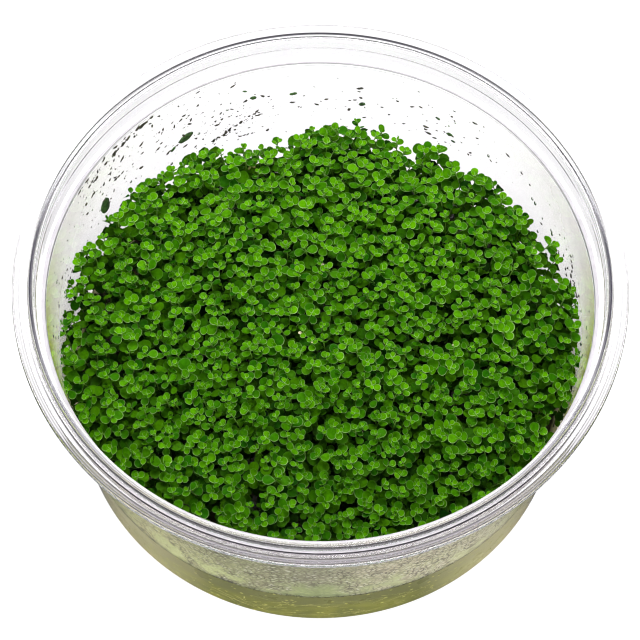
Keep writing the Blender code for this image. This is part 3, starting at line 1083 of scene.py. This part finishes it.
# Extra shoots fill the carpet between the tips, a little lower
def fillShoots(tips):
    allTips = np.concatenate(tips)
    owner = np.concatenate([[index] * len(group) for index, group in enumerate(tips)])
    placed = [tuple(tip[:2]) for tip in allTips]
    extra = [[] for _ in tips]
    for _ in range(shoot["fillTries"]):
        radius = shoot["reach"] * math.sqrt(draw.random())
        angle = draw.uniform(0, math.tau)
        spot = np.array([radius * math.cos(angle), radius * math.sin(angle)])
        gaps = np.hypot(*(np.array(placed) - spot).T)
        if gaps.min() < shoot["fillSpacing"]:
            continue
        placed.append(tuple(spot))
        away = np.hypot(*(allTips[:, :2] - spot).T)
        near = np.argsort(away)[:3]
        if away[near[0]] > shoot["fillWithin"]:
            continue
        drop = draw.uniform(*shoot["fillDrop"])
        height = allTips[near, 2].mean() - drop
        extra[owner[near[0]]].append((np.array([spot[0], spot[1], height]), drop))
    return extra


def growCarpet():
    nodes = [name for name in sorted(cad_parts) if name.startswith("tuft_")]
    tips = [tuftTips(node) for node in nodes]
    materials = [makeLeaf(), makeStem(), makeDryLeaf()]
    total = 0
    for node, ends, fill in zip(nodes, tips, fillShoots(tips)):
        shoots = [growShoot(end, 0.0) for end in ends]
        shoots += [growShoot(end, drop) for end, drop in fill]
        name = node.replace("tuft", "leafy_tuft")
        mesh = tuftMesh(name, shoots)
        addPiece(name, mesh, materials, [node])
        mesh.calc_loop_triangles()
        total += len(mesh.loop_triangles)
        print(name, len(ends), "tips,", len(fill), "fill,", len(mesh.loop_triangles), "triangles")
    print("carpet grown:", total, "triangles")


growCarpet()


# Points given along, up and off the inside of the wall, in millimetres, laid on the cup
def ontoWall(bearing, height, along, up, off):
    level = height + up
    radius = innerWall(level) - off
    angle = np.radians(bearing) + along / radius
    place = np.broadcast_arrays(radius * np.cos(angle), radius * np.sin(angle), level)
    return np.stack(place, axis=-1)


# Beads of water on the inside of the wall, thick in front and at the sides
water = {
    "beads": 1500,
    "spread": 68.0,             # degrees to each side of the front, most beads within
    "low": 13.2,
    "high": 33.0,
    "mostlyLow": 1.5,
    "smallest": 0.09,
    "largest": 0.42,
    "mostlySmall": 2.6,
    "stretch": (0.85, 1.5),
    "squash": (0.8, 1.2),
    "flat": 0.42,               # height of a bead over its radius
    "off": 0.02,
    "sides": 8,
    "rings": (1.0, 0.82, 0.45),
    "tint": (0.97, 0.985, 0.97),
    "tintDark": (0.93, 0.95, 0.93),
}


def beadTemplate():
    sides = water["sides"]
    turn = np.arange(sides) * math.tau / sides
    points = []
    for share in water["rings"]:
        lift = math.sqrt(1.0 - share ** 2)
        points += [(math.cos(a) * share, math.sin(a) * share, lift) for a in turn]
    points.append((0.0, 0.0, 1.0))
    faces = tubeFaces(len(water["rings"]), sides)
    top = (len(water["rings"]) - 1) * sides
    faces += [(top + i, top + (i + 1) % sides, top + sides) for i in range(sides)]
    faces.append(tuple(reversed(range(sides))))
    return np.array(points), faces


def makeWater():
    look = {"Roughness": 0.02, "IOR": 1.33, "Transmission Weight": 1.0}
    material = patchyMaterial("clearWater", water["tint"], water["tintDark"], 700.0, look)
    passLamps(material.node_tree)
    return material


# A size by chance, mostly near the smallest
def chanceSizes(kind, count):
    return kind["smallest"] + (kind["largest"] - kind["smallest"]) * draw.random(count) ** kind["mostlySmall"]


def placeBeads():
    template, faces = beadTemplate()
    count = water["beads"]
    bearing = -90.0 + draw.normal(0, water["spread"], count)
    height = water["low"] + (water["high"] - water["low"]) * draw.random(count) ** water["mostlyLow"]
    size = chanceSizes(water, count)
    stretch = draw.uniform(*water["stretch"], count)
    squash = draw.uniform(*water["squash"], count)
    along = template[:, 0][None] * (size / squash)[:, None]
    up = template[:, 1][None] * (size * stretch)[:, None]
    off = template[:, 2][None] * (size * water["flat"])[:, None] + water["off"]
    points = ontoWall(bearing[:, None], height[:, None], along, up, off)
    mesh = smallMesh("water_beads", points, joinFaces(faces, count, len(template)))
    addPiece("water_beads", mesh, [makeWater()])
    print("beads of water:", count)


placeBeads()


# A film of mist on the inside of the wall: beige behind; beside the leaves, painted green of the leaves
# showing through it; beaded in front, in painted light and shade with the leaves showing through in patches,
# painted highlights on the drops and painted shade between them.
# Colours are given at places from the left to the right
mist = {
    "low": 12.8,
    "high": 39.2,
    "off": 0.02,
    "frontOff": -0.03,          # in front the drops wet the plastic, with no air between
    "frontSine": -0.52,         # of the bearing where that starts
    "levels": 14,
    "turns": 128,
    "side": (0.62, 0.595, 0.51),
    # Painted green of the leaves showing through the mist beside them
    "beside": {
        -20 * mm: (0.56, 0.66, 0.06),
        20 * mm: (0.54, 0.60, 0.05),
    },
    "besideFrom": {12 * mm: 0.0, -8 * mm: 1.0},
    # Painted light and shade of the beaded front, darker in the middle
    "front": {
        -31 * mm: (1.0, 0.97, 0.52),
        -17 * mm: (0.37, 0.37, 0.19),
        0.0: (0.35, 0.335, 0.22),
        17 * mm: (0.74, 0.68, 0.49),
        31 * mm: (1.0, 0.96, 0.70),
    },
    "frontFrom": {-22 * mm: 0.0, -31 * mm: 1.0},
    # Painted green of the leaves showing through in patches
    "leafy": {
        -31 * mm: (0.92, 0.96, 0.48),
        0.0: (0.33, 0.39, 0.165),
        31 * mm: (0.92, 0.93, 0.56),
    },
    "leafyShown": {26 * mm: 0.25, 15 * mm: 1.3},        # by height
    "leafyPerMetre": 260.0,
    # Painted shade between the drops
    "between": (0.10, 0.085, 0.055),
    "shadeBetweenShown": {0.16: 0.0, 0.06: 0.9},
    "highlight": (0.85, 0.84, 0.72),
    "highlightShown": {0.38: 0.0, 0.18: 0.75},
    "dropsPerMetre": 960.0,
    "dropShape": (1.0, 1.0, 1.4),
    "wander": 0.9 * mm,         # how far the drops' outlines wander
    "wanderPerMetre": 700.0,
    "smoothed": {0.3: 1.0, 1.0: 0.3},           # drops show less in leafy patches
    "uneven": {0.38: 0.5, 0.62: 1.0},
    "unevenPerMetre": 330.0,
    "thickness": {              # by how far back the wall is: alpha there
        40 * mm: 0.05,
        30 * mm: 0.24,
        22 * mm: 0.42,
        8 * mm: 0.66,
        -8 * mm: 0.93,
        -46 * mm: 0.92,
    },
    "thinned": {37 * mm: 1.0, 27 * mm: 0.5},    # at the sides it thins towards the leaves
    "notThinned": {-4 * mm: 0.0, -16 * mm: 1.0},
    "foot": {14.0 * mm: 0.45, 16.2 * mm: 1.0},  # it is ragged and thin above the gel
    "ragged": 3 * mm,
    "grainPerMetre": 500.0,
    "cloud": {0.3: 0.86, 0.7: 1.0},
}


def makeMist():
    material, tree, shader = startMaterial("wallMist")
    spot = placeOnCup(tree)
    place, height, back, right = [spot[key] for key in ("place", "height", "back", "right")]
    beaded = rampColours(tree, right, mist["front"])
    leafy = rampColours(tree, right, mist["leafy"])
    patch = addMottle(tree, beaded, leafy, mist["leafyPerMetre"])["Patch"]
    patch = times(tree, patch, ramp(tree, height, mist["leafyShown"]))
    beaded = mixColours(tree, patch, beaded, leafy)
    beside = ramp(tree, back, mist["besideFrom"])
    front = ramp(tree, back, mist["frontFrom"])
    # Painted green of the leaves beside the mist, and the painted front
    colour = mixColours(tree, beside, mist["side"], rampColours(tree, right, mist["beside"]))
    colour = mixColours(tree, front, colour, beaded)
    bend = addNoise(tree, place, mist["wanderPerMetre"], 1.0)["Color"]
    bend = addNode(tree, "VectorMath", {0: bend, "Scale": mist["wander"]}, operation="SCALE")["Vector"]
    bent = addNode(tree, "VectorMath", {0: place, 1: bend}, operation="ADD")["Vector"]
    flat = addNode(tree, "VectorMath", {0: bent, 1: mist["dropShape"]}, operation="MULTIPLY")["Vector"]
    cells = {"Vector": flat, "Scale": mist["dropsPerMetre"]}
    drops = addNode(tree, "TexVoronoi", cells)["Distance"]
    gaps = addNode(tree, "TexVoronoi", cells, feature="DISTANCE_TO_EDGE")["Distance"]
    uneven = addNoise(tree, place, mist["unevenPerMetre"], 2.0)["Fac"]
    beads = times(tree, ramp(tree, patch, mist["smoothed"]), front, ramp(tree, uneven, mist["uneven"]))
    # Painted highlights on the drops and painted shade between them
    bright = times(tree, ramp(tree, drops, mist["highlightShown"]), beads)
    colour = mixColours(tree, bright, colour, mist["highlight"])
    dark = times(tree, ramp(tree, gaps, mist["shadeBetweenShown"]), beads)
    colour = mixColours(tree, dark, colour, mist["between"])
    grain = addNoise(tree, place, mist["grainPerMetre"], 3.0)["Fac"]
    thinned = ramp(tree, height, mist["thinned"])
    thinned = calculate(tree, "MAXIMUM", thinned, ramp(tree, back, mist["notThinned"]))
    ragged = calculate(tree, "ADD", height, times(tree, grain, mist["ragged"]))
    alpha = times(tree, ramp(tree, back, mist["thickness"]), thinned, ramp(tree, ragged, mist["foot"]),
                  ramp(tree, grain, mist["cloud"]))
    setInputs(tree, shader, {"Base Color": colour, "Roughness": 0.55, "Alpha": alpha})
    return material


def layMist():
    turns = mist["turns"]
    levels = np.linspace(mist["low"], mist["high"], mist["levels"] + 1)
    bearing = np.arange(turns) * 360.0 / turns
    off = np.where(np.sin(np.radians(bearing)) < mist["frontSine"], mist["frontOff"], mist["off"])
    points = ontoWall(bearing[None], levels[:, None], 0.0, 0.0, off[None])
    faces = [(b, a, d, c) for a, b, c, d in tubeFaces(len(levels), turns)]
    mesh = smallMesh("wall_mist", points, faces)
    addPiece("wall_mist", mesh, [makeMist()])


layMist()
print("mist laid on the wall")


# Torn leaf bits and dark crumbs stuck to the inside of the wall, mostly at the back
debris = {
    "leafBits": [               # bearing, height, length, width, turn
        (107.8, 34.6, 0.9, 0.5, 30),
        (106.0, 32.2, 1.25, 1.0, 15),
        (96.8, 31.6, 1.5, 0.8, -10),
        (123.0, 27.8, 3.3, 1.9, -18),
        (126.4, 26.6, 1.4, 0.8, -40),
        (148.0, 27.4, 2.5, 4.0, 0),
        (81.2, 29.2, 1.4, 1.0, -30),
        (63.3, 31.3, 1.0, 0.7, 20),
        (60.0, 28.4, 1.3, 0.9, -15),
        (58.8, 27.0, 0.9, 0.6, 0),
    ],
    "leafThick": 0.12,
    "leafUneven": 0.13,
    "swarms": [                 # bearing, spread, height, spread, crumbs
        (111.0, 5.0, 27.0, 4.5, 90),
        (122.0, 6.0, 30.0, 4.0, 90),
        (138.0, 8.0, 33.0, 4.5, 130),
        (150.0, 6.0, 35.5, 2.5, 70),
        (86.0, 14.0, 29.0, 4.0, 60),
        (61.0, 8.0, 30.0, 4.0, 70),
        (15.0, 8.0, 28.0, 3.0, 60),
        (172.0, 10.0, 31.0, 3.5, 60),
    ],
    "streaks": [                # bearing and height of both ends, scatter, crumbs
        (151.5, 36.9, 146.5, 37.9, 0.20, 26),
        (145.0, 37.3, 137.0, 38.4, 0.22, 44),
        (136.0, 38.3, 129.5, 38.9, 0.20, 34),
        (116.5, 23.2, 107.5, 26.0, 0.50, 46),
        (112.0, 25.5, 104.0, 27.3, 0.35, 26),
        (25.0, 26.2, 6.0, 28.0, 0.60, 30),
    ],
    "heights": (22.0, 39.0),    # crumbs stay between these
    "smallest": 0.07,
    "largest": 0.50,
    "mostlySmall": 2.6,
    "crumbLength": (1.3, 3.2),
    "crumbWidth": 1.2,
    "crumbThick": 0.4,
    "crumbTurn": (-10, 30),     # mean and spread
    "crumbUneven": 0.35,
    "raised": (0.55, 0.8),      # a bit's raised middle: its size and its height, as shares
    "off": 0.03,
    "leaf": (0.060, 0.140, 0.030),
    "leafDark": (0.010, 0.028, 0.008),
    "crumb": (0.060, 0.050, 0.030),
    "crumbDark": (0.008, 0.009, 0.007),
}


def makeDebris(name, light, dark):
    return patchyMaterial(name, light, dark, 1600.0, {"Roughness": 0.6}, (0.05 * mm, 0.5))


# Ragged flat shape: an outline of uneven radius with a raised middle
def raggedTemplate(sides):
    turn = np.arange(sides) * math.tau / sides
    inside, lift = debris["raised"]
    outline = [(math.cos(a), math.sin(a), 0.0) for a in turn]
    inner = [(inside * math.cos(a), inside * math.sin(a), lift) for a in turn]
    return np.array(outline + inner), stemFaces(2, sides)


# Each shape is as long, wide and thick as given, and turned on the wall
def raggedShapes(template, bearing, height, length, width, turn, thick, unevenness):
    count = len(bearing)
    sides = len(template) // 2
    uneven = 1.0 + draw.uniform(-unevenness, unevenness, (count, sides))
    uneven = np.concatenate([uneven, uneven], axis=1)
    x = template[:, 0][None] * uneven * length[:, None] / 2
    y = template[:, 1][None] * uneven * width[:, None] / 2
    spin = np.radians(turn)[:, None]
    along = x * np.cos(spin) - y * np.sin(spin)
    up = x * np.sin(spin) + y * np.cos(spin)
    off = debris["off"] + template[:, 2][None] * thick[:, None]
    return ontoWall(bearing[:, None], height[:, None], along, up, off)


def stickLeafBits():
    template, faces = raggedTemplate(16)
    rows = np.array(debris["leafBits"], dtype=float)
    thick = np.full(len(rows), debris["leafThick"])
    bits = raggedShapes(template, *rows.T, thick, debris["leafUneven"])
    mesh = smallMesh("wall_leaf_bits", bits, joinFaces(faces, len(rows), len(template)))
    addPiece("wall_leaf_bits", mesh, [makeDebris("tornLeaf", debris["leaf"], debris["leafDark"])])
    print("torn leaves on the wall:", len(rows))


def stickCrumbs():
    template, faces = raggedTemplate(6)
    bearing, height = [], []
    for middle, spread, level, levelSpread, crumbs in debris["swarms"]:
        bearing.append(draw.normal(middle, spread, crumbs))
        height.append(draw.normal(level, levelSpread, crumbs))
    for start, low, stop, high, scatter, crumbs in debris["streaks"]:
        share = draw.random(crumbs)
        bearing.append(start + (stop - start) * share)
        height.append(low + (high - low) * share + draw.normal(0, scatter, crumbs))
    bearing = np.concatenate(bearing)
    height = np.clip(np.concatenate(height), *debris["heights"])
    size = chanceSizes(debris, len(bearing))
    length = size * draw.uniform(*debris["crumbLength"], len(size))
    turn = draw.normal(*debris["crumbTurn"], len(size))
    crumbs = raggedShapes(template, bearing, height, length, size * debris["crumbWidth"], turn,
                          size * debris["crumbThick"], debris["crumbUneven"])
    mesh = smallMesh("wall_crumbs", crumbs, joinFaces(faces, len(size), len(template)))
    addPiece("wall_crumbs", mesh, [makeDebris("darkCrumb", debris["crumb"], debris["crumbDark"])])
    print("crumbs on the wall:", len(size))


stickLeafBits()
stickCrumbs()


# Pale roots that wander down the side of the gel
roots = {
    "threads": 150,
    "bearings": (205, 335),
    "radius": 0.10,
    "taper": (1.1, 0.6),
    "sides": 4,
    "joints": 9,
    "press": 0.47,
    "shortest": 0.3,
    "longest": 2.6,
    "low": 1.6,
    "startLow": 2.6,
    "startSpan": 8.0,
    "mostlyLow": 1.8,
    "wander": 0.16,
    "drift": 4.0,               # how far a root runs along the wall
    "pale": (0.62, 0.60, 0.20),
    "dull": (0.30, 0.31, 0.06),
}


def layRoots():
    points = []
    wide, taper = roots["taper"]
    for _ in range(roots["threads"]):
        bearing = draw.uniform(*roots["bearings"])
        start = roots["startLow"] + roots["startSpan"] * draw.random() ** roots["mostlyLow"]
        fall = min(draw.uniform(roots["shortest"], roots["longest"]), start - roots["low"])
        share = np.linspace(0, 1, roots["joints"])
        wander = np.cumsum(draw.normal(0, roots["wander"], roots["joints"]))
        wander += draw.normal(0, roots["drift"]) * share
        for joint in range(roots["joints"]):
            radius = roots["radius"] * (wide - taper * share[joint])
            for side in range(roots["sides"]):
                angle = math.tau * side / roots["sides"]
                along = wander[joint] + radius * math.cos(angle)
                off = radius * math.sin(angle) - roots["press"]
                points.append(ontoWall(bearing, start - fall * share[joint], along, 0.0, off))
    pattern = stemFaces(roots["joints"], roots["sides"])
    faces = joinFaces(pattern, roots["threads"], roots["joints"] * roots["sides"])
    mesh = smallMesh("gel_roots", np.array(points), faces)
    material = patchyMaterial("paleRoot", roots["pale"], roots["dull"], 600.0, {"Roughness": 0.45})
    addPiece("gel_roots", mesh, [material])
    print("roots:", roots["threads"])


layRoots()
